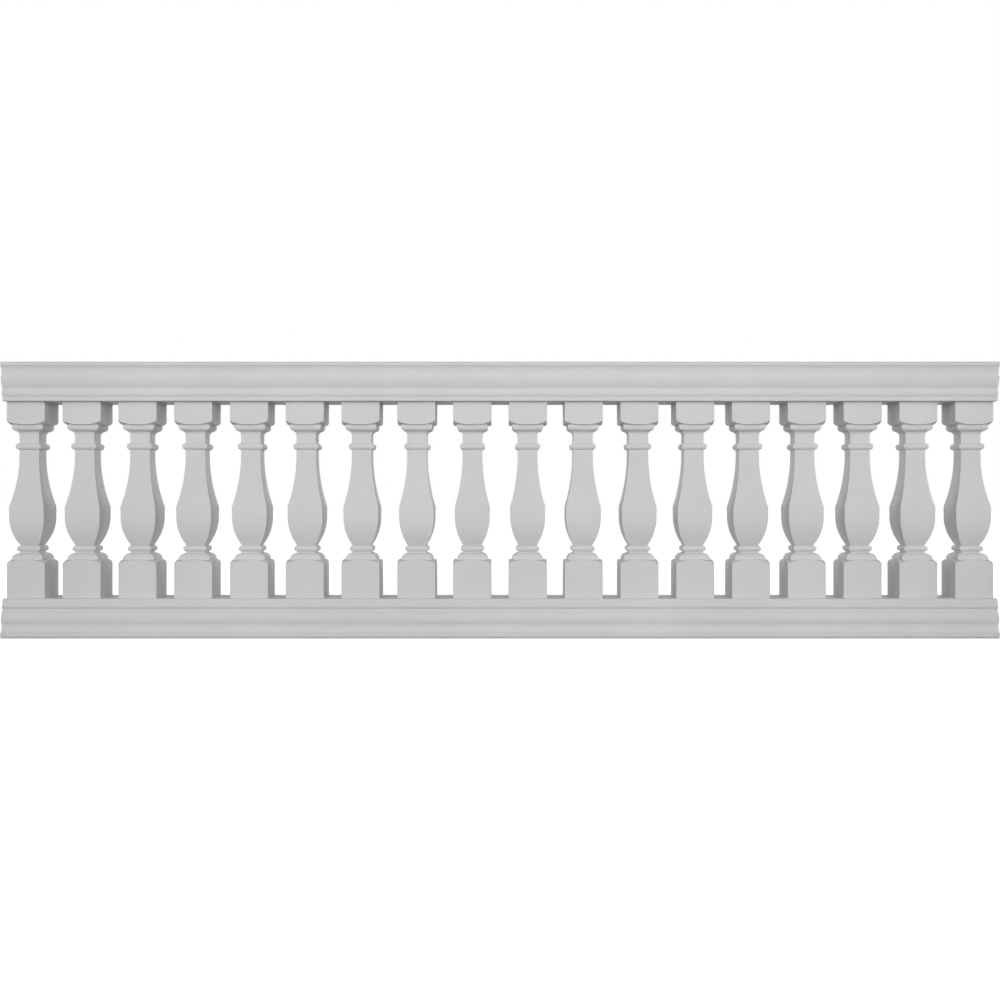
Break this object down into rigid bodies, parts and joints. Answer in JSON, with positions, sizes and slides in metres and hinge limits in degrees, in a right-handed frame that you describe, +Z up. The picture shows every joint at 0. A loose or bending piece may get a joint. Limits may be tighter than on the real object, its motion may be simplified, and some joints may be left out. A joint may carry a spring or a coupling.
{
  "type": "fiberglass balustrade",
  "caption": "Straight bay of fiberglass balustrade: a moulded handrail and a moulded bottom rail with a row of square vase-shaped balusters between them.",
  "frame": {"origin": "middle of the underside of the bottom rail, on the floor that the bay stands on", "axes": "+X along the rails, +Y through the balustrade from its front to its back, +Z up"},
  "size_m": [3.3, 0.207, 0.915],
  "materials": {
    "gelcoat": "moulded fiberglass with a pale neutral grey satin gelcoat, factory finished and lightly weathered"
  },
  "bodies": {
    "root": {"bottom_rail": "gelcoat", "top_rail": "gelcoat", "baluster_01": "gelcoat", "baluster_02": "gelcoat", "baluster_03": "gelcoat", "baluster_04": "gelcoat", "baluster_05": "gelcoat", "baluster_06": "gelcoat", "baluster_07": "gelcoat", "baluster_08": "gelcoat", "baluster_09": "gelcoat", "baluster_10": "gelcoat", "baluster_11": "gelcoat", "baluster_12": "gelcoat", "baluster_13": "gelcoat", "baluster_14": "gelcoat", "baluster_15": "gelcoat", "baluster_16": "gelcoat", "baluster_17": "gelcoat", "baluster_18": "gelcoat"}
  },
  "joints": []
}
